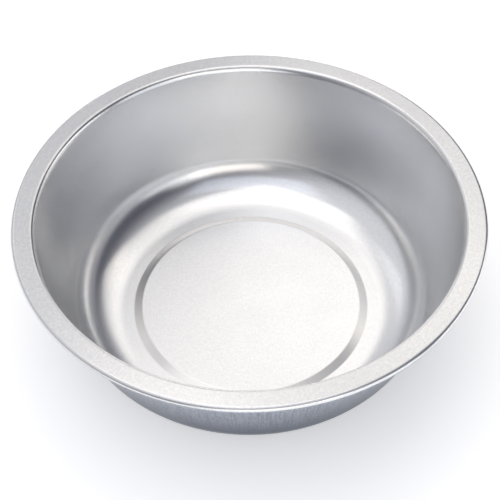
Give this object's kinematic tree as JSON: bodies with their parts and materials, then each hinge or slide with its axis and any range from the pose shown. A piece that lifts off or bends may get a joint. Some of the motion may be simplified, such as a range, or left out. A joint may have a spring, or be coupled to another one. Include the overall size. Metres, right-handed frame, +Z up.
{
  "type": "washing basin",
  "caption": "Round washing basin drawn from satin aluminium sheet, with a tapered wall, a raised disc in the floor, a flat flange and an edge rolled round a steel wire.",
  "frame": {"origin": "on the basin's axis, at the height of the surface that the foot ring stands on", "axes": "+Z up along the axis, out of the mouth; +Y to the back, where the two ends of the rim wire meet"},
  "size_m": [0.34, 0.34, 0.106],
  "materials": {
    "satin_aluminium": "satin",
    "steel_wire": "drawn wire"
  },
  "bodies": {
    "root": {"basin_shell": "satin_aluminium", "rim_wire": "steel_wire"}
  },
  "joints": []
}
